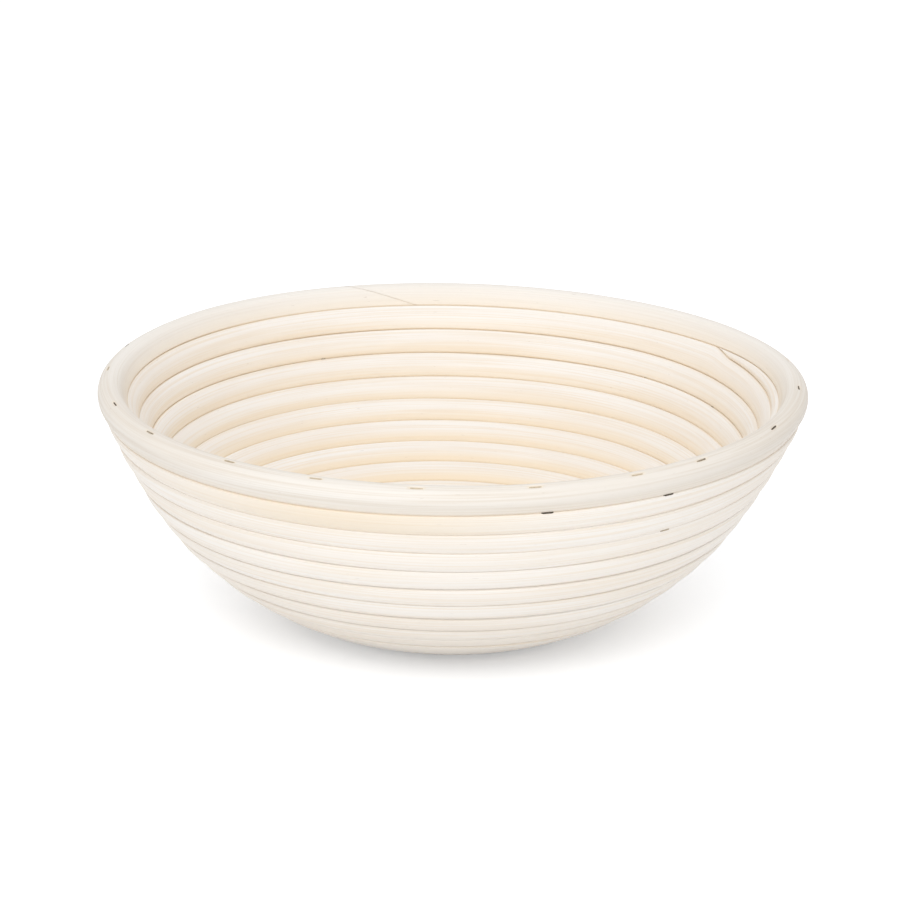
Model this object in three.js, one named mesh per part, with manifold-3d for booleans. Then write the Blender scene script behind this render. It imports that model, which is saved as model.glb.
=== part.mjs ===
// Round proofing basket: a spiral of rattan cane in two spliced lengths, a rim hoop closed by a
// scarf joint, and the wire staples that hold the hoop down on the top turn.
// Millimetres, +Z up. The origin is on the table, under the middle of the base.
import * as THREE from "three";
import { mergeVertices } from "three/addons/utils/BufferGeometryUtils.js";
import Module from "manifold-3d";

const { clamp, euclideanModulo, smoothstep } = THREE.MathUtils;
const DEG = Math.PI / 180;
const TURN = 2 * Math.PI;

// Bowl. Radii and angles are those of the middle of the wall, except the rim's outside diameter.
const RIM_DIAMETER = 250;
const BASE_FLAT_RADIUS = 35.7;
const KNUCKLE_RADIUS = 43.5;
const KNUCKLE_ANGLE = 22 * DEG;
const BELLY_RADIUS = 105.5;
const WALL_ANGLE = 61.8 * DEG;

// Cane of the spiral: its thickness runs across the wall, its width along the wall.
const CANE_THICKNESS = 10.2;
const CANE_WIDTH = 8.3;
const TURN_GAP = 0.7;
const BASE_SANDING = 0.95;

// Ends of the cane: shaved thin at the middle of the base, under the rim hoop and at the splice.
const CENTRE_RADIUS = 8;
const INNER_END_WIDTH = 3.6;
const INNER_TAPER = 200 * DEG;
const TOP_END_WIDTH = 0.6;
const FEATHER_WIDTH = 1.2;

// Climb: near the rim each turn lies level, and steps up to the next one over this arc.
const CLIMB_START = 56 * DEG;
const CLIMB_ARC = 122 * DEG;

// Splice of the two lengths of cane, at the back of the belly, counted in turns from the centre.
const SPLICE_ANGLE = 90 * DEG;
const SPLICE_TURNS = 6;
const SPLICE_LENGTH = 38;
const SPLICE_GAP = 0.5;

// Rim hoop, on the line of the wall, with the slanting joint of its two ends.
const RIM_THICKNESS = 9.4;
const RIM_HEIGHT = 9.5;
const SEAT_CLEARANCE = 0.35;
const SCARF_ANGLE = 106.5 * DEG;
const SCARF_LENGTH = 16;
const SCARF_GAP = 0.4;

// Staples, driven by hand through the rim hoop and this far into the top turn. Their places round the
// hoop are in degrees: the left and front, the right, and the back.
const STAPLE_PLACES = [
  [-180, -160, -144, -125, -110, -95, -78],
  [-62, -50, -30, -8, 9],
  [26, 43, 60, 77, 94, 117, 133, 149, 166],
].flat();
const STAPLE_CROWN = 5;
const STAPLE_BITE = 4.4;
const STAPLE_POINT = 1.4;
const WIRE_WIDTH = 0.9;
const WIRE_DEPTH = 0.6;
const WIRE_CLEARANCE = 0.3;

// Facets
const CANE_STEPS = 26;
const CANE_SIDES = 8;
const RIM_STEPS = 56;
const RIM_SIDES = 12;
const CUTTER_MARGIN = 5;

const CANE_FINISH = { color: "#efe2cb", roughness: 0.62, metalness: 0 };
const RIM_FINISH = { color: "#eddfc6", roughness: 0.6, metalness: 0 };
const WIRE_FINISH = { color: "#7d7568", roughness: 0.4, metalness: 0.9 };

const wasm = await Module();
wasm.setup();

// Solids and meshes

function toSolid(geometry, matrix = new THREE.Matrix4()) {
  const bare = geometry.clone().applyMatrix4(matrix);
  bare.deleteAttribute("normal");
  bare.deleteAttribute("uv");
  const merged = mergeVertices(bare);
  const vertProperties = new Float32Array(merged.attributes.position.array);
  const triVerts = new Uint32Array(merged.index.array);
  return new wasm.Manifold(new wasm.Mesh({ numProp: 3, vertProperties, triVerts }));
}

function toGeometry(solid) {
  const { vertProperties, triVerts } = solid.getMesh();
  const geometry = new THREE.BufferGeometry();
  geometry.setAttribute("position", new THREE.BufferAttribute(vertProperties, 3));
  geometry.setIndex(new THREE.BufferAttribute(triVerts, 1));
  geometry.computeVertexNormals();
  return geometry;
}

function namedMesh(name, geometry, finish) {
  const mesh = new THREE.Mesh(geometry, new THREE.MeshStandardMaterial(finish));
  mesh.name = name;
  return mesh;
}

// Wall profile, followed from the axis outwards along the middle of the wall

const WALL_STRETCHES = [
  { length: BASE_FLAT_RADIUS, bend: 0 },
  { length: KNUCKLE_RADIUS * KNUCKLE_ANGLE, bend: 1 / KNUCKLE_RADIUS },
  { length: BELLY_RADIUS * (WALL_ANGLE - KNUCKLE_ANGLE), bend: 1 / BELLY_RADIUS },
  { length: Infinity, bend: 0 },
];

// Radius, height and slope of the wall's middle at a distance along it.
function wallAt(distance) {
  const at = { radius: 0, height: CANE_THICKNESS / 2 - BASE_SANDING, slope: 0 };
  let left = distance;
  for (const { length, bend } of WALL_STRETCHES) {
    const run = Math.min(left, length);
    const slope = at.slope + run * bend;
    if (bend === 0) {
      at.radius += run * Math.cos(slope);
      at.height += run * Math.sin(slope);
    } else {
      at.radius += (Math.sin(slope) - Math.sin(at.slope)) / bend;
      at.height += (Math.cos(at.slope) - Math.cos(slope)) / bend;
    }
    at.slope = slope;
    left -= run;
    if (left <= 0) break;
  }
  return at;
}

// Where a point across and along the wall lies, as radius and height, from a place on its middle.
function offWall({ radius, height, slope }, [across, along]) {
  return [
    radius + across * Math.sin(slope) + along * Math.cos(slope),
    height - across * Math.cos(slope) + along * Math.sin(slope),
  ];
}

// Corners of a round stick drawn with flat sides, as across and along pairs, anticlockwise from
// the outside. The first corner is turned by a share of one side.
function stickCorners(across, along, sides, turned) {
  return Array.from({ length: sides }, (_, i) => {
    const angle = ((i + turned) / sides) * TURN;
    return [(across / 2) * Math.cos(angle), (along / 2) * Math.sin(angle)];
  });
}

// Rim hoop's section: its outside sets where the wall ends, its underside is the top turn's seat

const overFlats = 1 / Math.cos(Math.PI / RIM_SIDES);
const rimCorners = stickCorners(RIM_THICKNESS * overFlats, RIM_HEIGHT * overFlats, RIM_SIDES, 0.5);
const level = { radius: 0, height: 0, slope: WALL_ANGLE };
const rimReach = Math.max(...rimCorners.map((corner) => offWall(level, corner)[0]));
const rimRadius = RIM_DIAMETER / 2 - rimReach;
const bentLength = WALL_STRETCHES.slice(0, -1).reduce((sum, { length }) => sum + length, 0);
const rimDistance = bentLength + (rimRadius - wallAt(bentLength).radius) / Math.cos(WALL_ANGLE);
const rimMiddle = wallAt(rimDistance);
const seatDistance = rimDistance - RIM_HEIGHT / 2 - SEAT_CLEARANCE;

// Spiral. A place on it is "back", the angle run back along the cane from the start of its last climb.

const pitch = CANE_WIDTH + TURN_GAP;
const topMiddle = seatDistance - CANE_WIDTH / 2;
const evenLag = (1 - CLIMB_ARC / TURN) / 2;
const spiralEnd = TURN * (1 + (topMiddle - CENTRE_RADIUS) / pitch - evenLag);

// Turns run down from the top: level ones with a short step near the rim, an even spiral at the centre.
function turnsDown(back) {
  const inTurn = back % TURN;
  const stepped = smoothstep(inTurn, 0, CLIMB_ARC);
  const even = inTurn / TURN + evenLag;
  const levelShare = 1 - back / spiralEnd;
  return back / TURN + evenLag + levelShare * (stepped - even);
}

// Lower and upper edge of the cane, as distances along the wall. The top end is planed level under
// the rim hoop, and the inner end is shaved on the side of the centre.
function caneEdges(back) {
  const middle = topMiddle - pitch * (turnsDown(back) - 1);
  const shaved = 1 - smoothstep(spiralEnd - back, 0, INNER_TAPER);
  return {
    low: middle - CANE_WIDTH / 2 + shaved * (CANE_WIDTH - INNER_END_WIDTH),
    high: Math.min(middle, topMiddle) + CANE_WIDTH / 2,
  };
}

// Where the planed top end thins out to its tip.
function topTip() {
  let thin = 0;
  let thick = CLIMB_ARC;
  while (thick - thin > 1e-6) {
    const between = (thin + thick) / 2;
    const { low, high } = caneEdges(between);
    if (high - low < TOP_END_WIDTH) thin = between;
    else thick = between;
  }
  return thick;
}

// Splice: a slanting cut that shares the cane's width between the two lengths.
const spliceFirst = euclideanModulo(CLIMB_START - SPLICE_ANGLE, TURN);
const spliceMiddle = spliceFirst + TURN * Math.floor((spiralEnd - spliceFirst) / TURN - SPLICE_TURNS);
const spliceArc = SPLICE_LENGTH / wallAt(caneEdges(spliceMiddle).high).radius;
const spliceFrom = spliceMiddle - spliceArc / 2;
const spliceTo = spliceMiddle + spliceArc / 2;

function spliceCut(back) {
  const share = clamp((back - spliceFrom) / spliceArc, 0, 1);
  return caneEdges(back).low + FEATHER_WIDTH + share * (CANE_WIDTH - 2 * FEATHER_WIDTH);
}

function wallCaneEdges(back) {
  const edges = caneEdges(back);
  if (back >= spliceFrom) edges.low = spliceCut(back) + SPLICE_GAP / 2;
  return edges;
}

function baseCaneEdges(back) {
  const edges = caneEdges(back);
  if (back <= spliceTo) edges.high = spliceCut(back) - SPLICE_GAP / 2;
  return edges;
}

// All turns share the same facets round the axis, so that the gaps between them stay even.
const caneStep = TURN / CANE_STEPS;

function facetRadius(radius, back) {
  const fromMiddle = euclideanModulo(back, caneStep) - caneStep / 2;
  return (radius * Math.cos(caneStep / 2)) / Math.cos(fromMiddle);
}

function caneStations(from, to, extra) {
  const stations = [from, extra, to];
  for (let i = Math.ceil(from / caneStep); i * caneStep < to; i++) stations.push(i * caneStep);
  stations.sort((a, b) => a - b);
  return stations.filter((back, i) => i === 0 || back - stations[i - 1] > caneStep / 20);
}

function caneRing(back, edges) {
  const { low, high } = edges(back);
  const middle = wallAt((low + high) / 2);
  const angle = CLIMB_START - back;
  return stickCorners(CANE_THICKNESS, high - low, CANE_SIDES, 0).map((corner) => {
    const [radius, height] = offWall(middle, corner);
    const faceted = facetRadius(radius, back);
    return new THREE.Vector3(faceted * Math.cos(angle), faceted * Math.sin(angle), height);
  });
}

// One unbroken stick through rings of corners, closed at both ends.
function sweep(rings) {
  const sides = rings[0].length;
  const index = [];
  for (let ring = 0; ring + 1 < rings.length; ring++) {
    for (let side = 0; side < sides; side++) {
      const a = ring * sides + side;
      const b = ring * sides + ((side + 1) % sides);
      index.push(a, b, a + sides, b, b + sides, a + sides);
    }
  }
  const last = (rings.length - 1) * sides;
  for (let side = 1; side + 1 < sides; side++) {
    index.push(0, side + 1, side, last, last + side, last + side + 1);
  }
  return new THREE.BufferGeometry().setFromPoints(rings.flat()).setIndex(index);
}

// The least distance between corners from half a turn to a turn and a half apart along the cane.
function leastGap(rings) {
  let least = Infinity;
  rings.forEach((ring, i) => {
    const others = rings.slice(i + CANE_STEPS * 0.5, i + CANE_STEPS * 1.5).flat();
    for (const p of ring) for (const q of others) least = Math.min(least, p.distanceToSquared(q));
  });
  return Math.sqrt(least);
}

function caneSolid(name, stations, edges) {
  const rings = stations.map((back) => caneRing(back, edges));
  console.log(`${name}: least gap between its turns ${leastGap(rings).toFixed(2)} mm`);
  return toSolid(sweep(rings));
}

// Places on the rim hoop: X runs along it, Y up the line of the wall, Z outwards

const hoopAxes = new THREE.Matrix4().makeBasis(
  new THREE.Vector3(0, 1, 0),
  new THREE.Vector3(Math.cos(WALL_ANGLE), 0, Math.sin(WALL_ANGLE)),
  new THREE.Vector3(Math.sin(WALL_ANGLE), 0, -Math.cos(WALL_ANGLE)),
);

function setOnHoop(mesh, angle, along) {
  const place = new THREE.Group();
  place.rotation.z = angle;
  const [radius, height] = offWall(rimMiddle, [0, along]);
  mesh.position.set(radius, 0, height);
  mesh.quaternion.setFromRotationMatrix(hoopAxes);
  place.add(mesh);
  return place;
}

// Staples: a side view with the crown's top at Y 0, made larger all round for the slots

const stapleLeg = RIM_HEIGHT + SEAT_CLEARANCE + STAPLE_BITE;

function stapleGeometry(larger, top) {
  const outside = STAPLE_CROWN / 2 + larger;
  const inside = STAPLE_CROWN / 2 - WIRE_DEPTH - larger;
  const under = -WIRE_DEPTH - larger;
  const tip = -stapleLeg - larger;
  const shoulder = tip + STAPLE_POINT;
  const half = [
    [inside, under],
    [inside, tip],
    [outside, shoulder],
    [outside, top],
  ];
  const mirrored = half.map(([x, y]) => [-x, y]).reverse();
  const outline = [...half, ...mirrored].map(([x, y]) => new THREE.Vector2(x, y));
  const depth = WIRE_WIDTH + 2 * larger;
  const geometry = new THREE.ExtrudeGeometry(new THREE.Shape(outline), { depth, bevelEnabled: false });
  return geometry.translate(0, 0, -depth / 2);
}

const stapleBlank = stapleGeometry(0, 0);
const stapleCutter = stapleGeometry(WIRE_CLEARANCE, CUTTER_MARGIN);

const staples = STAPLE_PLACES.map((_, i) => {
  const name = `rim_staple_${String(i + 1).padStart(2, "0")}`;
  return namedMesh(name, stapleBlank, WIRE_FINISH);
});
const staplePlaces = staples.map((staple, i) => {
  return setOnHoop(staple, STAPLE_PLACES[i] * DEG, RIM_HEIGHT / 2);
});

function stapleSlots() {
  staplePlaces.forEach((place) => place.updateMatrixWorld());
  return wasm.Manifold.union(staples.map((staple) => toSolid(stapleCutter, staple.matrixWorld)));
}

// Rim hoop: a turned ring, cut through along the slant of its scarf joint

function rimRing() {
  const outline = rimCorners.map((corner) => new THREE.Vector2(...offWall(rimMiddle, corner)));
  const ring = new THREE.LatheGeometry([...outline, outline[0]], RIM_STEPS);
  return toSolid(ring.rotateX(Math.PI / 2));
}

function scarfKerf() {
  const length = Math.hypot(SCARF_LENGTH, RIM_HEIGHT) + 2 * CUTTER_MARGIN;
  const saw = new THREE.Mesh(new THREE.BoxGeometry(length, SCARF_GAP, RIM_THICKNESS + 2 * CUTTER_MARGIN));
  const place = setOnHoop(saw, SCARF_ANGLE, 0);
  saw.rotateZ(Math.atan2(RIM_HEIGHT, SCARF_LENGTH));
  place.updateMatrixWorld();
  return toSolid(saw.geometry, saw.matrixWorld);
}

// Everything below the table is sanded off the base

function belowTable() {
  const slab = new THREE.BoxGeometry(RIM_DIAMETER, RIM_DIAMETER, 2 * CUTTER_MARGIN);
  return toSolid(slab.translate(0, 0, -CUTTER_MARGIN));
}

const slots = stapleSlots();
const wallStations = caneStations(topTip(), spliceTo, spliceFrom);
const baseStations = caneStations(spliceFrom, spiralEnd, spliceTo);
const wallCane = caneSolid("wall_cane", wallStations, wallCaneEdges).subtract(slots);
const baseCane = caneSolid("base_cane", baseStations, baseCaneEdges).subtract(belowTable());
const rimHoop = rimRing().subtract(scarfKerf()).subtract(slots);

const basket = new THREE.Group();
basket.add(
  namedMesh("base_cane", toGeometry(baseCane), CANE_FINISH),
  namedMesh("wall_cane", toGeometry(wallCane), CANE_FINISH),
  namedMesh("rim_hoop", toGeometry(rimHoop), RIM_FINISH),
  ...staplePlaces,
);

export default basket;
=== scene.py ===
"""Round proofing basket: a spiral of pale rattan cane, a rim hoop with a scarf joint, wire staples.

Lengths are in millimetres and become metres where a mesh is made. Angles around the basket run
anticlockwise from the right of the picture; the front is at -90 degrees. Places along the cane are angles
back: clockwise from the end of its last climb, and down the winding.
"""
import math

import bpy
import numpy as np
from mathutils import Matrix, Vector


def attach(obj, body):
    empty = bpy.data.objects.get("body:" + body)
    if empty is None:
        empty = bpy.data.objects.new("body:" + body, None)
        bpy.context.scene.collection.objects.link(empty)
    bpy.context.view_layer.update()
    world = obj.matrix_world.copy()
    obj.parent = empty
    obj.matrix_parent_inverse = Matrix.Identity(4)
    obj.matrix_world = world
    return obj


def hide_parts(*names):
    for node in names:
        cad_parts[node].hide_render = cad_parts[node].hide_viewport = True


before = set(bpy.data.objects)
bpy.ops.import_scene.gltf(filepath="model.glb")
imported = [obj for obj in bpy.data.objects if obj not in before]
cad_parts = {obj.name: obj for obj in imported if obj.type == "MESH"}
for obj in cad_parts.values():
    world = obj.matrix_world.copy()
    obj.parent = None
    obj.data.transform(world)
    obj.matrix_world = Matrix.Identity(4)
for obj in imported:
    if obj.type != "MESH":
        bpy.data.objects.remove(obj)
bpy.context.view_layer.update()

MM = 0.001
DEG = math.pi / 180
RIGHT_ANGLE = math.pi / 2
TURN = 2 * math.pi

# Bowl: radii and angles of the middle of the wall, except the rim's outside diameter
RIM_DIAMETER = 250
BASE_FLAT_RADIUS = 35.7
KNUCKLE_RADIUS = 43.5
KNUCKLE_ANGLE = 22 * DEG
BELLY_RADIUS = 105.5
WALL_ANGLE = 61.8 * DEG

# How far the finished basket is out of true: lifts and lean at the rim's height, ovals as shares of the
# radius, and the shares of the height from which and over which the rim's oval takes over
RIM_TOP = 88
SADDLE = 0.68
SADDLE_ACROSS = -0.11
BACK_LIFT = 2.05
RIGHT_LIFT = 0.8
LEAN = 0.61
WALL_OVAL = -0.0035
RIM_OVAL = -0.0113
OVAL_FROM = 0.6
OVAL_RISE = 0.35

# Cane of the spiral: its thickness runs across the wall, its turns lie a pitch apart along it
CANE_THICKNESS = 10.2
PITCH = 9.0
BASE_SANDING = 0.95
CONTACT_GAP = 0.03
CANE_STEP = 2 * DEG
TIP_STEP = 0.3 * DEG
SEARCH_STEP = CANE_STEP / 20

# Climb from each level turn to the next one
CLIMB_START = 56 * DEG
CLIMB_ARC = 122 * DEG

# Ends of the cane: shaved at the centre of the base, planed to a tip under the rim, edges rounded off
CENTRE_RADIUS = 8
INNER_END_WIDTH = 3.6
INNER_TAPER = 200 * DEG
TOP_END_WIDTH = 1.5
TOP_END_TAPER = 6 * DEG
TIP_SHARE = 0.7
TOP_END_GAP = 0.07
TOP_END_GAP_ARC = 14 * DEG
END_ROUNDING = 0.5
END_SHARES = np.array([0.0, 0.6, 1.0])
END_SIZES = np.array([1.0, 0.94, 0.80])

# Lift of the rim's lower edge over the tip of the cane
SEAT_RISE = 1.08
SEAT_RISE_PLACE = 15 * DEG
SEAT_RISE_ARC = 25 * DEG

# Splice of the two lengths of cane: its place around, its turns from the centre, and its slanting cut
SPLICE_ANGLE = 90 * DEG
SPLICE_TURNS = 6
SPLICE_LENGTH = 38
SPLICE_GAP = 0.15
FEATHER_WIDTH = 1.2

# Rim hoop: thickness and height of the solid, then the dressed thickness and its reach out and in
RIM_THICKNESS = 9.4
RIM_HEIGHT = 9.5
RIM_DRESSED = 8.5
RIM_OUT = 4.3
RIM_IN = 4.2
RIM_STEP = 0.4 * DEG

# Worn front of the rim, lower and thinner, and its two thicker sides
WORN_DEPTH = 1.1
THIN_DEPTH = 1.2
WORN_PLACE = -65 * DEG
WORN_ARC = 38 * DEG
SIDE_DEPTH = 0.4
SIDE_POWER = 4

# Scarf joint of the rim: its place, its length along the hoop, and how its two ends meet
SCARF_ANGLE = 104.2 * DEG
SCARF_LENGTH = 29
SCARF_GAP = 0.02
SCARF_ROUNDING = 0.15
SCARF_SHRINK = 0.03
SCARF_MISMATCH = 0.12
MISMATCH_LENGTH = 25

# Sections: roundings of the upper and lower corner of a face, then bulges of its upper and lower half
CANE_OUTSIDE = (0.35, 0.12, 0.5, 0.9)
CANE_INSIDE = (0.7, 0.7, 0.9, 0.9)
RIM_OUTSIDE = (4.6, 0.3, 0.3, 0.5)
RIM_INSIDE = (3.6, 0.7, 0.3, 0.3)
WIRE_FACE = (0.15, 0.15, 0.05, 0.05)

# Depth of the rim's upper corner outside, and points across its crest
RIM_SHOULDER = 3.5
CREST_POINTS = (0.17, 0, -0.17)

# Points of a face: shares of each flat half, and steps around each corner
FLAT_SHARES = np.array([0, 0.3, 0.6, 0.85, 1])
CANE_ROUND_STEPS = 6
RIM_ROUND_STEPS = 18

# Handmade unevenness: how far thicknesses and places wander, and the length from one change to the next;
# the rim's size wanders by a share
THICKNESS_WANDER = 0.22
SHIFT_WANDER = 0.22
WANDER_STEP = 55
RIM_SIZE_WANDER = 0.012
RIM_SHIFT_WANDER = 0.11
RIM_SHIFT_STEP = 77

# Seeds of the random values; each length of cane also uses the next one
WALL_SEED = 11
BASE_SEED = 23
RIM_SIZE_SEED = 41
RIM_SHIFT_SEED = 43
STAPLE_SEED = 7

# Staples through the rim: place around in degrees, distance inwards from the crest, share of rust
STAPLES = (
    (-180, 0.5, 0.25), (-160, 1.2, 0.9), (-144, 1.1, 0.5), (-125, 1.3, 0.2), (-110, 0.9, 0.1),
    (-95, 0.2, 0.1), (-78, 0.0, 0.15), (-62, 0.0, 0.1), (-50, -0.2, 0.5), (-30, 0.0, 1.0),
    (-8, 1.2, 0.9), (9, 0.4, 0.2), (26, 0.5, 0.4), (43, 0.0, 0.2), (60, 0.6, 0.7), (77, 0.2, 0.3),
    (94, 0.8, 0.5), (117, 0.0, 0.2), (133, 0.4, 0.6), (149, 0.9, 0.9), (166, 0.0, 0.7),
)
STAPLE_CROWN = 4.6
STAPLE_LENGTH = 13.6
STAPLE_SINK = 0.12
SINK_SPREAD = 0.08
ASKEW_SPREAD = 2.5 * DEG
WIRE_WIDTH = 0.5
WIRE_DEPTH = 0.5
WIRE_BEND = 0.5
BEND_STEPS = 4

# Dent that a crown presses into the rim: its depth, its reach along the crown and how square it ends
DENT_DEPTH = 0.4
DENT_REACH = STAPLE_CROWN / 1.8
DENT_POWER = 6

# Short staples in the grooves: place around in degrees, turns down from the rim, share of rust
OUTSIDE_STAPLES = (
    (-76, 0, 0.9), (-56, 0, 0.9), (-53, 2, 0.3), (172, 1, 0.6), (5, 3, 0.6), (20, 1, 0.8), (75, 3, 0.4),
    (128, 2, 0.7), (158, 4, 0.5),
)
INSIDE_STAPLES = ((118, 2, 0.3), (46, 3, 0.3), (24, 3, 0.3), (-60, 3, 0.4), (-130, 2, 0.3))
OUTSIDE_CROWN = 4.0
INSIDE_CROWN = 2.2
GROOVE_LEG = 2.5

# Depths of their crowns below the face of the cane: under the rim, and in the grooves outside and inside
SEAT_DEPTH = 0.85
OUTSIDE_DEPTH = 0.5
INSIDE_DEPTH = 0.9

# Warm tint: painted warm shade on the lower edges inside at the base, at the top and on the rim, and on
# the rim's lower edge outside; an even tone of the turns outside; the slope of the wall from which the
# turns inside have it in full
WARM_SHADE_LOW = 1.6
WARM_SHADE_HIGH = 0.55
WARM_SHADE_RIM = 0.5
WARM_SHADE_RIM_OUTSIDE = 0.3
WARM_OUTSIDE = 0.25
WARM_SHADE_SLOPE = 34 * DEG

# Where on a face the painted warm shade starts and how far below it is full, as shares of the half width
INSIDE_FOOT_FROM = 0.25
INSIDE_FOOT_REACH = 1.15
OUTSIDE_FOOT_FROM = 0.6
OUTSIDE_FOOT_REACH = 1.4

# Painted shade of the upper edges outside, where the painted shade in the grooves inside reaches 1: its
# most, and how fast it fades
OUTSIDE_SHADE = 0.91
OUTSIDE_FADE = 0.6

# Amber stretch of the first turn
AMBER_BACK = 161 * DEG
AMBER_ARC = 25 * DEG

# Painted light, a paler inside of the rim at the back: where it starts and how far on it is full, as
# shares of the half thickness inwards and of the radius backwards
PAINTED_LIGHT_FROM = 0.4
PAINTED_LIGHT_REACH = 1.2
PAINTED_LIGHT_BACK_FROM = -0.5
PAINTED_LIGHT_BACK_REACH = 0.9

# Grain of the rattan: noise scales across, across and along the cane, then detail and roughness
BROAD_GRAIN = ((0.05, 0.05, 0.012), 2, 0.5)
FIBRE_GRAIN = ((0.8, 0.8, 0.012), 3, 0.55)
FINE_GRAIN = ((1.8, 1.8, 0.012), 2, 0.5)
FLECK_GRAIN = ((2.4, 2.4, 0.3), 1, 0.5)
CANE_GRAIN_OFFSET = (3.1, 7.7, 1.3)
RIM_GRAIN_OFFSET = (12.4, 2.9, 5.8)

# Spans of values over which a colour comes in, then the least and most of its share
BROAD_SPAN = (0.35, 0.65, 0, 1)
FIBRE_SPAN = (0.48, 0.72, 0, 0.55)
FINE_SPAN = (0.45, 0.70, 0, 0.7)
# Groove span: brings in painted shade in the grooves and along the edges
GROOVE_SHADE_SPAN = (0.88, 1.0, 0, 0.6)
FLECK_SPAN = (0.74, 0.82, 0, 0.2)
OUTSIDE_SPAN = (-1, 1, 0, 1)
# Patch share: brings in the amber stretch of the cane and the painted light at the back of the rim
PATCH_AND_LIGHT_SHARE = 0.6
# Warm share: brings in the painted warm shade on the lower edges, the even warm tone outside and the
# dents' bruise
WARM_SHARE = 0.55

# Surface of the rattan
FIBRE_RELIEF = 0.6
FINE_RELIEF = 0.4
BUMP_STRENGTH = 0.4
BUMP_DEPTH = 0.25
RATTAN_ROUGHNESS = (0.3, 0.7, 0.5, 0.62)
RATTAN_SPECULAR = 0.35

# Surface of the wire: noise of its stains, per metre, and what they do to colour and roughness
STAIN_GRAIN = ((900, 900, 900), 3, 0.6)
STAIN_SPAN = (0.5, 1.4, 0, 1)
WIRE_ROUGHNESS = (0.5, 1.4, 0.35, 0.6)
WIRE_METALLIC = 0.2

# Colours, linear
CREAM = (0.885, 0.835, 0.78, 1)
IVORY = (0.905, 0.875, 0.84, 1)
STRAW = (0.84, 0.745, 0.63, 1)
AMBER = (0.83, 0.69, 0.505, 1)
RIM_CREAM = (0.79, 0.735, 0.665, 1)
RIM_IVORY = (0.81, 0.765, 0.705, 1)
RIM_STRAW = (0.71, 0.635, 0.545, 1)
# Painted light on the inside of the rim at the back
RIM_PAINTED_LIGHT = (0.91, 0.875, 0.83, 1)
# Colour of the painted warm shade on the lower edges, of the even tone outside and of the staple dents
HONEY = (0.89, 0.74, 0.53, 1)
# Painted shade in the grooves inside and along the rim's lower edge
TAN_SHADE = (0.86, 0.715, 0.525, 1)
# Painted shade on the upper edges of the turns outside
DUSK_SHADE = (0.71, 0.635, 0.56, 1)
BROWN = (0.22, 0.12, 0.055, 1)
STEEL = (0.56, 0.46, 0.33, 1)
RUST = (0.065, 0.044, 0.024, 1)
FLOOR_WHITE = (0.935, 0.953, 0.98, 1)
WHITE = (1, 1, 1, 1)

# Floor: half its side in metres, how far it lies below the base, and its glow where it is seen
FLOOR_HALF = 6
FLOOR_DROP = 0.1
FLOOR_GLOW = 0.32

# Light: levels of the white surroundings, as light and as they are seen, and panels with their place, aim,
# width and height in metres and their power in watts
WORLD_LEVEL = 0.74
WORLD_SEEN = 1.0
PANELS = (
    ("top_panel", (0, -0.1, 1.5), (0, 0, 0.04), 1.4, 1.4, 2.0),
    ("key_panel", (-0.18, -1.2, 1.2), (0, 0, 0.04), 1.2, 0.8, 8.2),
    ("low_panel", (-0.22, -1.8, 0.3), (0, 0, 0.04), 2.0, 0.5, 4.2),
)

# Camera: it looks at a point over the base; the last value is in metres
CAMERA_ELEVATION = 17.2 * DEG
CAMERA_DISTANCE = 919.5
CAMERA_ROLL = 0.89 * DEG
AIM_HEIGHT = 58.66
AIM_ASIDE = -0.06
FOCAL_LENGTH = 104.24
SENSOR = 36
CLIP_END = 50


# Shape of the wall and of the winding

def ease(share):
    """Smooth step from 0 to 1."""
    share = np.clip(share, 0, 1)
    return share * share * (3 - 2 * share)


def wander(distance, step, seed):
    """Smooth random values from -1 to 1 along a length, with a new one at every step."""
    places = np.asarray(distance) / step
    first = np.floor(places).astype(int)
    knots = np.random.default_rng(seed).uniform(-1, 1, first.max() + 2)
    share = ease(places - first)
    return knots[first] * (1 - share) + knots[first + 1] * share


def angle_from(theta, place):
    """Angle from a place around, within half a turn either way."""
    return np.mod(theta - place + math.pi, TURN) - math.pi


def near_angle(theta, place, arc):
    """Share from 0 to 1 that peaks at a place around and fades over an arc."""
    return np.exp(-(angle_from(theta, place) / arc) ** 2)


# Stretches of the wall from the centre outwards: length and bend of each
WALL_STRETCHES = (
    (BASE_FLAT_RADIUS, 0),
    (KNUCKLE_RADIUS * KNUCKLE_ANGLE, 1 / KNUCKLE_RADIUS),
    (BELLY_RADIUS * (WALL_ANGLE - KNUCKLE_ANGLE), 1 / BELLY_RADIUS),
    (math.inf, 0),
)


def wall_at(distance):
    """Radius, height and slope of the middle of the wall at distances along it."""
    left = np.asarray(distance, float)
    radius = np.zeros_like(left)
    height = np.full_like(left, CANE_THICKNESS / 2 - BASE_SANDING)
    slope = np.zeros_like(left)
    for length, bend in WALL_STRETCHES:
        run = np.minimum(left, length)
        after = slope + run * bend
        if bend:
            radius = radius + (np.sin(after) - np.sin(slope)) / bend
            height = height + (np.cos(slope) - np.cos(after)) / bend
        else:
            radius = radius + run * np.cos(slope)
            height = height + run * np.sin(slope)
        slope = after
        left = left - run
    return radius, height, slope


# Distances along the wall of the middle of the rim, of its seat and of the middle of the turn under it
BENT_LENGTH = sum(length for length, _ in WALL_STRETCHES[:-1])
RIM_RADIUS = (RIM_DIAMETER - RIM_THICKNESS) / 2
RIM_DISTANCE = BENT_LENGTH + (RIM_RADIUS - wall_at(BENT_LENGTH)[0]) / math.cos(WALL_ANGLE)
SEAT = RIM_DISTANCE - RIM_HEIGHT / 2
TOP_MIDDLE = SEAT - PITCH / 2

# How many turns an even spiral lags behind the level turns on average, and the angle back of its inner end
EVEN_LAG = (1 - CLIMB_ARC / TURN) / 2
SPIRAL_END = TURN * (1 + (TOP_MIDDLE - CENTRE_RADIUS) / PITCH - EVEN_LAG)


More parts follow.
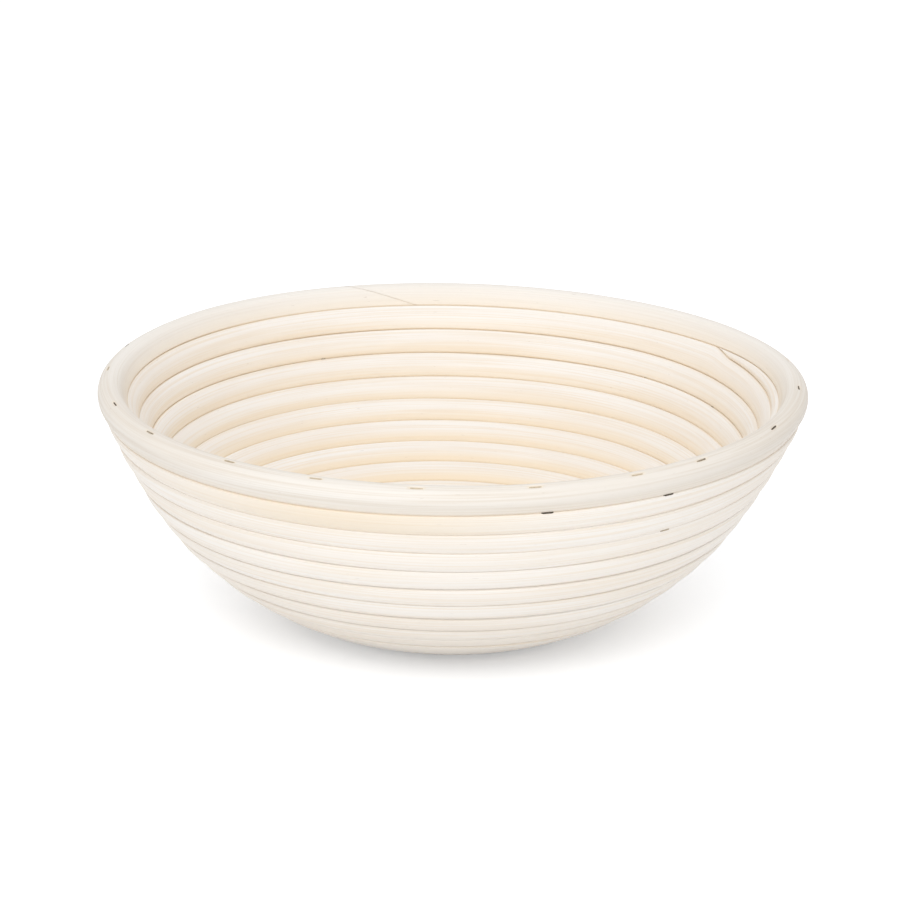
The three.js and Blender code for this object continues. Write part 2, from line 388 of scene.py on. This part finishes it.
def turn_middle(back):
    """Distance along the wall of the middle of the cane: level turns at the rim, an even spiral inside."""
    in_turn = np.mod(back, TURN)
    even = in_turn / TURN + EVEN_LAG
    level_share = 1 - back / SPIRAL_END
    turns = back / TURN + EVEN_LAG + level_share * (ease(in_turn / CLIMB_ARC) - even)
    return TOP_MIDDLE - PITCH * (turns - 1)


def seam_below(back):
    """Where the cane touches the turn below it."""
    return (turn_middle(back) + turn_middle(back + TURN)) / 2


def first_wider_than(width):
    """Angle back from which the cane under the rim's seat is wider than a width."""
    backs = np.arange(0, CLIMB_ARC, SEARCH_STEP)
    return backs[np.argmax(SEAT - seam_below(backs) > width)]


TOP_END = first_wider_than(TOP_END_WIDTH)


def seat_rise(theta):
    """How far the rim's lower edge is lifted off its level seat by the end of the cane."""
    return SEAT_RISE * near_angle(theta, SEAT_RISE_PLACE, SEAT_RISE_ARC)


def seat_at(back):
    """Where the rim sits on the cane."""
    return SEAT + seat_rise(CLIMB_START - back)


def parting(back):
    """Upper edge of the turn below: the rim's seat up to the tip of the cane, then the seam under it."""
    reached = ease((back - TOP_END) / TOP_END_TAPER + 1)
    seat = seat_at(back)
    seam = seam_below(np.maximum(back, 0))
    under_rim = seat + reached * np.minimum(0, seam - seat)
    return np.where(back < CLIMB_ARC, under_rim, seam)


def cane_edges(back):
    """Lower and upper edge of the cane along the wall."""
    shaved = 1 - ease((SPIRAL_END - back) / INNER_TAPER)
    low = parting(back) + shaved * (PITCH - INNER_END_WIDTH)
    seat = seat_at(back)
    gap = TOP_END_GAP * np.exp(-np.maximum(back - TOP_END, 0) / TOP_END_GAP_ARC)
    top = seat - np.minimum(gap, (seat - low) / 2)
    high = np.where(back < TURN, top, parting(back - TURN))
    return low + CONTACT_GAP / 2, high - CONTACT_GAP / 2


# Meshes

def warped(theta, radius, height):
    """Points of the basket, which stands slightly out of true, as handmade ones do."""
    share = height / RIM_TOP
    oval = WALL_OVAL + (RIM_OVAL - WALL_OVAL) * ease((share - OVAL_FROM) / OVAL_RISE)
    radius = radius * (1 + oval * np.cos(2 * theta))
    lift = BACK_LIFT * np.sin(theta) + RIGHT_LIFT * np.cos(theta)
    lift = lift - SADDLE * np.sin(2 * theta) - SADDLE_ACROSS * np.cos(2 * theta)
    x = radius * np.cos(theta) + LEAN * share
    y = radius * np.sin(theta)
    z = np.maximum(height, 0) + lift * share * np.abs(share)
    return np.stack([x, y, z], axis=-1)


def on_wall(theta, distance, across, along):
    """Points beside the middle of the wall, by their offsets outwards across it and upwards along it."""
    radius, height, slope = wall_at(distance)
    return warped(
        theta,
        radius + across * np.sin(slope) + along * np.cos(slope),
        height - across * np.cos(slope) + along * np.sin(slope),
    )


def ring_faces(rings, sides):
    """Quads between neighbouring rings, and a face over each end."""
    faces = []
    for ring in range(rings - 1):
        for side in range(sides):
            near = ring * sides + side
            beside = ring * sides + (side + 1) % sides
            faces.append((near, beside, beside + sides, near + sides))
    faces.append(tuple(reversed(range(sides))))
    faces.append(tuple(range((rings - 1) * sides, rings * sides)))
    return faces


def make_piece(name, rings, material, nodes=(), places=None, tones=None):
    """A closed stick over rings of points, with the values that its material reads at each point."""
    mesh = bpy.data.meshes.new(name)
    mesh.from_pydata((rings.reshape(-1, 3) * MM).tolist(), [], ring_faces(*rings.shape[:2]))
    mesh.polygons.foreach_set("use_smooth", [True] * len(mesh.polygons))
    for label, values in (("cane_place", places), ("cane_tone", tones)):
        if values is not None:
            layer = mesh.attributes.new(label, "FLOAT_VECTOR", "POINT")
            layer.data.foreach_set("vector", values.astype(np.float32).ravel())
    mesh.materials.append(material)
    mesh.update()
    piece = bpy.data.objects.new(name, mesh)
    bpy.context.collection.objects.link(piece)
    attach(piece, "root")
    if nodes:
        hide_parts(*nodes)
    return piece


def section(outside, inside, thickness, width, round_steps, crest=(), shoulder=None):
    """Outline of a stick with flattened faces, anticlockwise, as shares of its half sizes."""
    angles = np.arange(1, round_steps + 1) / round_steps * RIGHT_ANGLE

    def face(rounding, bulge, depth=None):
        start = 1 - rounding / (width / 2)
        along = np.concatenate([start * FLAT_SHARES, start + (1 - start) * np.sin(angles)])
        drop = np.concatenate([0 * FLAT_SHARES, (depth or rounding) * (1 - np.cos(angles))])
        return np.stack([1 - (bulge * along ** 2 + drop) / (thickness / 2), along], axis=1)

    out_up, out_down, out_up_bulge, out_down_bulge = outside
    in_up, in_down, in_up_bulge, in_down_bulge = inside
    crest_points = [(across / (thickness / 2), 1) for across in crest]
    return np.concatenate([
        face(out_up, out_up_bulge, shoulder),
        np.reshape(crest_points, (-1, 2)),
        face(in_up, in_up_bulge)[::-1] * (-1, 1),
        face(in_down, in_down_bulge)[1:] * (-1, -1),
        face(out_down, out_down_bulge)[:0:-1] * (1, -1),
    ]).T


def rounded_ends(values, at_ends):
    """A list of stations with more of them at each end, where the stick rounds off."""
    return np.concatenate([at_ends[0][::-1], values, at_ends[1]])


def inside_foot_shade(across_share, along_share):
    """Share from 0 to 1 down the inside face of a stick, to its lower edge, for the painted shade there.
    """
    return (across_share < 0) * ease((INSIDE_FOOT_FROM - along_share) / INSIDE_FOOT_REACH)


def outside_foot_shade(across_share, along_share):
    """Share from 0 to 1 down the outside face of a stick, to its lower edge, for the painted shade there.
    """
    return (across_share > 0) * ease((OUTSIDE_FOOT_FROM - along_share) / OUTSIDE_FOOT_REACH)


def sweep_cane(name, back, low, high, seed, material, node):
    """A length of cane wound along the wall between two edges."""
    radius = wall_at((low + high) / 2)[0]
    slant = END_ROUNDING / radius
    size = rounded_ends(np.ones(len(back)), (END_SIZES, END_SIZES))
    back = rounded_ends(back, (back[0] - END_SHARES * slant[0], back[-1] + END_SHARES * slant[-1]))
    low = rounded_ends(low, (np.full(len(END_SHARES), low[0]), np.full(len(END_SHARES), low[-1])))
    high = rounded_ends(high, (np.full(len(END_SHARES), high[0]), np.full(len(END_SHARES), high[-1])))
    middle = (low + high) / 2
    theta = CLIMB_START - back
    radius, height, slope = wall_at(middle)
    steps = np.hypot(np.diff(radius * np.cos(theta)), np.diff(radius * np.sin(theta)))
    length = np.concatenate([[0], np.cumsum(steps)])

    half_width = (high - low) / 2 * size
    half_thickness = CANE_THICKNESS / 2 * size + THICKNESS_WANDER / 2 * wander(length, WANDER_STEP, seed)
    off_table = ease((height - CANE_THICKNESS / 2) / CANE_THICKNESS)
    shift = SHIFT_WANDER * wander(length, WANDER_STEP, seed + 1) * off_table
    across_share, along_share = section(CANE_OUTSIDE, CANE_INSIDE, CANE_THICKNESS, PITCH, CANE_ROUND_STEPS)
    across = half_thickness[:, None] * across_share + shift[:, None]
    along = half_width[:, None] * along_share
    rings = on_wall(theta[:, None], middle[:, None], across, along)
    places = np.stack([across, along, np.broadcast_to(length[:, None], across.shape)], axis=-1)

    # Painted shade: on the upper edges outside, under the turn above, and at both edges in the grooves
    # inside
    edge_shade = np.minimum(1 - OUTSIDE_FADE * (1 - along_share), OUTSIDE_SHADE)
    groove_shade = np.where(across_share > 0, edge_shade, np.abs(along_share))
    amber = np.exp(-((back - AMBER_BACK) / AMBER_ARC) ** 2)
    # Painted warm shade, standing in for bounce light, on the lower edges inside, stronger towards the
    # base; an even warm tone outside
    warm_tone_and_shade = WARM_SHADE_LOW + (WARM_SHADE_HIGH - WARM_SHADE_LOW) * np.clip(height / RIM_TOP, 0, 1)
    warm_tone_and_shade = (warm_tone_and_shade * ease(slope / WARM_SHADE_SLOPE))[:, None] * inside_foot_shade(across_share, along_share)
    warm_tone_and_shade = np.where(across_share > 0, WARM_OUTSIDE, warm_tone_and_shade)
    tones = np.stack(np.broadcast_arrays(groove_shade, amber[:, None], warm_tone_and_shade), axis=-1)
    return make_piece(name, rings, material, (node,), places, tones)


def build_spiral(material):
    """The two lengths of cane and the slanting splice between them."""
    first = (CLIMB_START - SPLICE_ANGLE) % TURN
    middle = first + TURN * math.floor((SPIRAL_END - first) / TURN - SPLICE_TURNS)
    arc = SPLICE_LENGTH / wall_at(cane_edges(np.array(middle))[1])[0]
    start = middle - arc / 2
    end = middle + arc / 2

    def cut_line(back):
        low, high = cane_edges(back)
        feather = FEATHER_WIDTH / PITCH
        return low + (high - low) * (feather + np.clip((back - start) / arc, 0, 1) * (1 - 2 * feather))

    tip = TOP_END - TIP_SHARE * TOP_END_TAPER
    back = np.concatenate([np.arange(tip, TOP_END, TIP_STEP), np.arange(TOP_END, end, CANE_STEP)])
    low, high = cane_edges(back)
    low = np.where(back > start, cut_line(back) + SPLICE_GAP / 2, low)
    sweep_cane("wall_winding", back, low, high, WALL_SEED, material, "wall_cane")

    back = np.arange(start, SPIRAL_END, CANE_STEP)
    low, high = cane_edges(back)
    high = np.where(back < end, cut_line(back) - SPLICE_GAP / 2, high)
    sweep_cane("base_winding", back, low, high, BASE_SEED, material, "base_cane")


def worn(theta):
    """Share from 0 to 1 of the wear of the rim, which is lower and thinner at the front."""
    return near_angle(theta, WORN_PLACE, WORN_ARC)


def rim_inner(theta):
    """Distance of the rim's inner face from its middle, more at the two sides."""
    return RIM_IN - THIN_DEPTH * worn(theta) + SIDE_DEPTH * np.cos(theta) ** SIDE_POWER


def build_rim(material):
    """The hoop, as one bent stick whose slanting ends meet in the scarf joint."""
    gap = SCARF_GAP / RIM_RADIUS
    steps = round(TURN / RIM_STEP)
    around = SCARF_ANGLE + gap / 2 + np.arange(steps + 1) / steps * (TURN - gap)
    slant = SCARF_ROUNDING / RIM_RADIUS
    around = rounded_ends(around, (around[0] - END_SHARES * slant, around[-1] + END_SHARES * slant))
    end_sizes = 1 - SCARF_SHRINK * (1 - END_SIZES)
    size = rounded_ends(np.ones(steps + 1), (end_sizes, end_sizes))
    length = (around - around[0]) * RIM_RADIUS
    to_end = length[-1] - length

    size = size * (1 + RIM_SIZE_WANDER * wander(length, WANDER_STEP, RIM_SIZE_SEED))
    shift = SCARF_MISMATCH * (np.exp(-length / MISMATCH_LENGTH) - np.exp(-to_end / MISMATCH_LENGTH))
    shift = shift + RIM_SHIFT_WANDER * wander(length, RIM_SHIFT_STEP, RIM_SHIFT_SEED)
    across_share, along_share = section(
        RIM_OUTSIDE, RIM_INSIDE, RIM_DRESSED, RIM_HEIGHT, RIM_ROUND_STEPS, CREST_POINTS, RIM_SHOULDER,
    )
    along = RIM_HEIGHT / 2 * size[:, None] * along_share
    theta = around[:, None] + along / RIM_HEIGHT * SCARF_LENGTH / RIM_RADIUS
    across = np.where(across_share > 0, RIM_OUT, rim_inner(theta)) * size[:, None] * across_share
    across = across + shift[:, None]
    along = along - WORN_DEPTH * worn(theta) * (1 + along_share) / 2
    along = along + seat_rise(theta) * (1 - along_share) / 2

    dent = np.zeros_like(along)
    for place, inset, _ in STAPLES:
        aside = angle_from(theta, place * DEG) * RIM_RADIUS
        under_crown = np.exp(-(aside / DENT_REACH) ** DENT_POWER)
        near = under_crown * np.exp(-((across + inset) / WIRE_WIDTH) ** 2)
        dent = np.maximum(dent, near * (along_share > 0))
    along = along - DENT_DEPTH * dent
    rings = on_wall(theta, RIM_DISTANCE, across, along)
    places = np.stack([across, along, np.broadcast_to(length[:, None], across.shape)], axis=-1)

    # Painted shade along the rim's lower edge, where it sits on the cane
    groove_shade = np.maximum(-along_share, 0)
    # Painted warm shade on the rim's lower edges, inside and outside
    foot_shade = WARM_SHADE_RIM * inside_foot_shade(across_share, along_share)
    foot_shade = foot_shade + WARM_SHADE_RIM_OUTSIDE * outside_foot_shade(across_share, along_share)
    # Painted light on the inside face of the rim at the back
    painted_back_light = ease((PAINTED_LIGHT_FROM - across_share) / PAINTED_LIGHT_REACH)
    painted_back_light = painted_back_light * ease((np.sin(theta) - PAINTED_LIGHT_BACK_FROM) / PAINTED_LIGHT_BACK_REACH)
    tones = np.stack(np.broadcast_arrays(groove_shade, painted_back_light, np.maximum(dent, foot_shade)), axis=-1)
    return make_piece("rim_winding", rings, material, ("rim_hoop",), places, tones)


def wire_path(crown, length):
    """Middle line of a staple seen from the side: up one leg, along the crown, down the other."""
    half = (crown - WIRE_WIDTH) / 2
    left = [(-half, -length)]
    for angle in np.arange(BEND_STEPS + 1) / BEND_STEPS * RIGHT_ANGLE:
        left.append((-half + WIRE_BEND * (1 - math.cos(angle)), -WIRE_BEND * (1 - math.sin(angle))))
    right = [(-aside, up) for aside, up in reversed(left)]
    return np.array(left + right)


def staple_rings(crown, length):
    """Rings of a flattened wire bent into a staple: aside, across and up, with the crown at 0."""
    path = wire_path(crown, length)
    path[:, 1] -= WIRE_DEPTH / 2
    run = np.gradient(path, axis=0)
    run /= np.linalg.norm(run, axis=1)[:, None]
    wide, deep = section(WIRE_FACE, WIRE_FACE, WIRE_WIDTH, WIRE_DEPTH, CANE_ROUND_STEPS)
    out = deep * WIRE_DEPTH / 2
    aside = path[:, :1] - run[:, 1:] * out
    up = path[:, 1:] + run[:, :1] * out
    across = np.broadcast_to(wide * WIRE_WIDTH / 2, aside.shape)
    return aside, across, up


def crest_drop(theta, inset):
    """How far the rim's top lies below its full height, at a distance inwards from its middle."""
    rounding = RIM_INSIDE[0]
    reach = rim_inner(theta) if inset > 0 else RIM_OUT
    beyond = max(0, abs(inset) / reach * RIM_DRESSED / 2 - RIM_DRESSED / 2 + rounding)
    return WORN_DEPTH * worn(theta) + rounding - math.sqrt(rounding ** 2 - beyond ** 2)


def wire_piece(name, theta, distance, aside, across, along, rust, material, nodes=()):
    """A staple set at a place on the wall, by its offsets along the turn, across and along the wall."""
    radius = wall_at(distance)[0]
    rings = on_wall(theta + aside / radius, distance, across, along)
    make_piece(name, rings, material, nodes, tones=np.full(rings.shape, rust))


def build_rim_staples(material):
    """The staples along the crest of the rim, each a little sunk and a little askew."""
    aside, across, up = staple_rings(STAPLE_CROWN, STAPLE_LENGTH)
    chance = np.random.default_rng(STAPLE_SEED)
    for number, (place, inset, rust) in enumerate(STAPLES, start=1):
        askew = chance.normal(0, ASKEW_SPREAD)
        sink = STAPLE_SINK - chance.uniform(-SINK_SPREAD, SINK_SPREAD)
        top = RIM_HEIGHT / 2 - crest_drop(place * DEG, inset) - sink
        turned_aside = aside * math.cos(askew) - across * math.sin(askew)
        turned_across = aside * math.sin(askew) + across * math.cos(askew) - inset
        wire_piece(
            f"rim_wire_{number:02d}", place * DEG, RIM_DISTANCE, turned_aside, turned_across, top + up,
            rust, material, (f"rim_staple_{number:02d}",),
        )


def build_groove_staples(material):
    """Short staples in the grooves and under the rim, their crowns along the turns."""
    for label, side, crown, depth, staples in (
        ("outside", 1, OUTSIDE_CROWN, OUTSIDE_DEPTH, OUTSIDE_STAPLES),
        ("inside", -1, INSIDE_CROWN, INSIDE_DEPTH, INSIDE_STAPLES),
    ):
        aside, along, up = staple_rings(crown, GROOVE_LEG)
        for number, (place, turns, rust) in enumerate(staples, start=1):
            across = side * (CANE_THICKNESS / 2 - (depth if turns else SEAT_DEPTH) + up)
            back = (CLIMB_START - place * DEG) % TURN + TURN * turns
            distance = seam_below(back - TURN) if turns else SEAT
            name = f"{label}_wire_{number:02d}"
            wire_piece(name, place * DEG, distance, aside, across, side * along, rust, material)


# Materials

class Nodes:
    """The node tree of a material or a world, built one linked node at a time."""

    def __init__(self, owner):
        owner.use_nodes = True
        self.tree = owner.node_tree
        self.tree.nodes.clear()

    def add(self, kind, inputs=None, **settings):
        node = self.tree.nodes.new(kind)
        for key, value in settings.items():
            setattr(node, key, value)
        for key, value in (inputs or {}).items():
            if isinstance(value, bpy.types.NodeSocket):
                self.tree.links.new(value, node.inputs[key])
            else:
                node.inputs[key].default_value = value
        return node

    def attribute(self, name):
        return self.add("ShaderNodeAttribute", attribute_name=name).outputs["Vector"]

    def parts(self, vector):
        return self.add("ShaderNodeSeparateXYZ", {0: vector}).outputs

    def noise(self, place, grain, offset=(0, 0, 0)):
        scale, detail, roughness = grain
        moved = self.add("ShaderNodeMapping", {"Vector": place, "Scale": scale, "Location": offset})
        inputs = {"Vector": moved.outputs[0], "Scale": 1, "Detail": detail, "Roughness": roughness}
        return self.add("ShaderNodeTexNoise", inputs).outputs[0]

    def span(self, value, span):
        low, high, to_low, to_high = span
        inputs = {"Value": value, "From Min": low, "From Max": high, "To Min": to_low, "To Max": to_high}
        return self.add("ShaderNodeMapRange", inputs, interpolation_type="SMOOTHSTEP").outputs[0]

    def times(self, one, other):
        return self.add("ShaderNodeMath", {0: one, 1: other}, operation="MULTIPLY").outputs[0]

    def plus(self, one, other):
        return self.add("ShaderNodeMath", {0: one, 1: other}, operation="ADD").outputs[0]

    def mix(self, share, colour, other):
        """The colour sockets of a Mix node are its inputs 6 and 7 and its output 2."""
        inputs = {0: share, 6: colour, 7: other}
        return self.add("ShaderNodeMix", inputs, data_type="RGBA").outputs[2]

    def seen(self):
        """1 for rays that show a surface, straight or by reflection or through glass; 0 for light."""
        rays = self.add("ShaderNodeLightPath").outputs
        mirrored = self.plus(rays["Is Glossy Ray"], rays["Is Transmission Ray"])
        return self.plus(rays["Is Camera Ray"], mirrored)

    def finish(self, kind, shader):
        self.add(kind, {"Surface": shader.outputs[0]})


def rattan(name, darker, lighter, streak, patch_and_light_colour, edge, offset):
    """Pale rattan: fibres along the cane, slow changes of tone, painted shade and painted warm shade at
    the edges, a patch of its own tone on the cane and of painted light on the rim, and small flecks.
    """
    material = bpy.data.materials.new(name)
    nodes = Nodes(material)
    place = nodes.attribute("cane_place")
    groove_shade, patch_and_light, warm_tone_and_shade = nodes.parts(nodes.attribute("cane_tone"))
    outside = nodes.span(nodes.parts(place)[0], OUTSIDE_SPAN)
    broad = nodes.noise(place, BROAD_GRAIN, offset)
    fibre = nodes.noise(place, FIBRE_GRAIN, offset)
    fine = nodes.noise(place, FINE_GRAIN, offset)
    fleck = nodes.noise(place, FLECK_GRAIN, offset)
    colour = nodes.mix(nodes.span(broad, BROAD_SPAN), darker, lighter)
    colour = nodes.mix(nodes.span(fibre, FIBRE_SPAN), colour, streak)
    colour = nodes.mix(nodes.span(fine, FINE_SPAN), colour, streak)
    # The amber stretch is the cane's own tone; on the rim this is painted light at the back
    colour = nodes.mix(nodes.times(patch_and_light, PATCH_AND_LIGHT_SHARE), colour, patch_and_light_colour)
    # Painted warm shade on the lower edges, also the even warm tone outside and the dents' bruise
    colour = nodes.mix(nodes.times(warm_tone_and_shade, WARM_SHARE), colour, HONEY)
    # Painted shade in the grooves and along the edges; on the cane it is duller outside
    colour = nodes.mix(nodes.span(groove_shade, GROOVE_SHADE_SPAN), colour, nodes.mix(outside, TAN_SHADE, edge))
    colour = nodes.mix(nodes.span(fleck, FLECK_SPAN), colour, BROWN)
    relief = nodes.plus(nodes.times(fibre, FIBRE_RELIEF), nodes.times(fine, FINE_RELIEF))
    bump = nodes.add("ShaderNodeBump", {
        "Height": relief,
        "Strength": BUMP_STRENGTH,
        "Distance": BUMP_DEPTH * MM,
    })
    shader = nodes.add("ShaderNodeBsdfPrincipled", {
        "Base Color": colour,
        "Roughness": nodes.span(fibre, RATTAN_ROUGHNESS),
        "Specular IOR Level": RATTAN_SPECULAR,
        "Normal": bump.outputs[0],
    })
    nodes.finish("ShaderNodeOutputMaterial", shader)
    return material


def staple_steel():
    """Thin wire, some of it bright, some stained from the damp flour."""
    material = bpy.data.materials.new("staple_wire_dull")
    nodes = Nodes(material)
    place = nodes.add("ShaderNodeTexCoord").outputs["Object"]
    rust = nodes.parts(nodes.attribute("cane_tone"))[0]
    stain = nodes.plus(nodes.noise(place, STAIN_GRAIN), rust)
    shader = nodes.add("ShaderNodeBsdfPrincipled", {
        "Base Color": nodes.mix(nodes.span(stain, STAIN_SPAN), STEEL, RUST),
        "Roughness": nodes.span(stain, WIRE_ROUGHNESS),
        "Metallic": WIRE_METALLIC,
    })
    nodes.finish("ShaderNodeOutputMaterial", shader)
    return material


# Floor, light and camera

def build_stage():
    """A white floor that takes the shadow, and glows a little where it is seen."""
    material = bpy.data.materials.new("floor_white")
    nodes = Nodes(material)
    matt = nodes.add("ShaderNodeBsdfDiffuse", {"Color": FLOOR_WHITE})
    strength = nodes.times(nodes.seen(), FLOOR_GLOW)
    glow = nodes.add("ShaderNodeEmission", {"Color": WHITE, "Strength": strength})
    both = nodes.add("ShaderNodeAddShader", {0: matt.outputs[0], 1: glow.outputs[0]})
    nodes.finish("ShaderNodeOutputMaterial", both)
    mesh = bpy.data.meshes.new("floor")
    corners = ((-1, -1), (1, -1), (1, 1), (-1, 1))
    points = [(x * FLOOR_HALF, y * FLOOR_HALF, -FLOOR_DROP * MM) for x, y in corners]
    mesh.from_pydata(points, [], [(0, 1, 2, 3)])
    mesh.materials.append(material)
    floor = bpy.data.objects.new("floor", mesh)
    bpy.context.collection.objects.link(floor)


def build_light():
    """White surroundings and the panels of a studio."""
    world = bpy.data.worlds.new("studio")
    bpy.context.scene.world = world
    nodes = Nodes(world)
    levels = {"Value": nodes.seen(), "To Min": WORLD_LEVEL, "To Max": WORLD_SEEN}
    level = nodes.add("ShaderNodeMapRange", levels).outputs[0]
    background = nodes.add("ShaderNodeBackground", {"Color": WHITE, "Strength": level})
    nodes.finish("ShaderNodeOutputWorld", background)
    for name, place, aim, width, height, power in PANELS:
        data = bpy.data.lights.new(name, "AREA")
        data.shape = "RECTANGLE"
        data.size = width
        data.size_y = height
        data.energy = power
        lamp = bpy.data.objects.new(name, data)
        lamp.location = place
        lamp.rotation_euler = (Vector(aim) - Vector(place)).to_track_quat("-Z", "Y").to_euler()
        bpy.context.collection.objects.link(lamp)


def build_camera():
    """The camera of the photograph, in front of the basket and slightly rolled."""
    data = bpy.data.cameras.new("camera")
    data.lens = FOCAL_LENGTH
    data.sensor_width = SENSOR
    data.clip_end = CLIP_END
    camera = bpy.data.objects.new("camera", data)
    forward = Vector((0, math.cos(CAMERA_ELEVATION), -math.sin(CAMERA_ELEVATION)))
    level_right = Vector((1, 0, 0))
    level_up = Vector((0, math.sin(CAMERA_ELEVATION), math.cos(CAMERA_ELEVATION)))
    right = level_right * math.cos(CAMERA_ROLL) + level_up * math.sin(CAMERA_ROLL)
    up = level_up * math.cos(CAMERA_ROLL) - level_right * math.sin(CAMERA_ROLL)
    turned = Matrix((right, up, -forward)).transposed().to_4x4()
    place = Vector((AIM_ASIDE, 0, AIM_HEIGHT)) - forward * CAMERA_DISTANCE
    camera.matrix_world = Matrix.Translation(place * MM) @ turned
    bpy.context.collection.objects.link(camera)
    bpy.context.scene.camera = camera


cane_finish = rattan("cane_rattan", CREAM, IVORY, STRAW, AMBER, DUSK_SHADE, CANE_GRAIN_OFFSET)
rim_finish = rattan("rim_rattan", RIM_CREAM, RIM_IVORY, RIM_STRAW, RIM_PAINTED_LIGHT, TAN_SHADE, RIM_GRAIN_OFFSET)
wire_finish = staple_steel()
build_spiral(cane_finish)
build_rim(rim_finish)
build_rim_staples(wire_finish)
build_groove_staples(wire_finish)
build_stage()
build_light()
build_camera()
bpy.context.scene.view_settings.view_transform = "Standard"
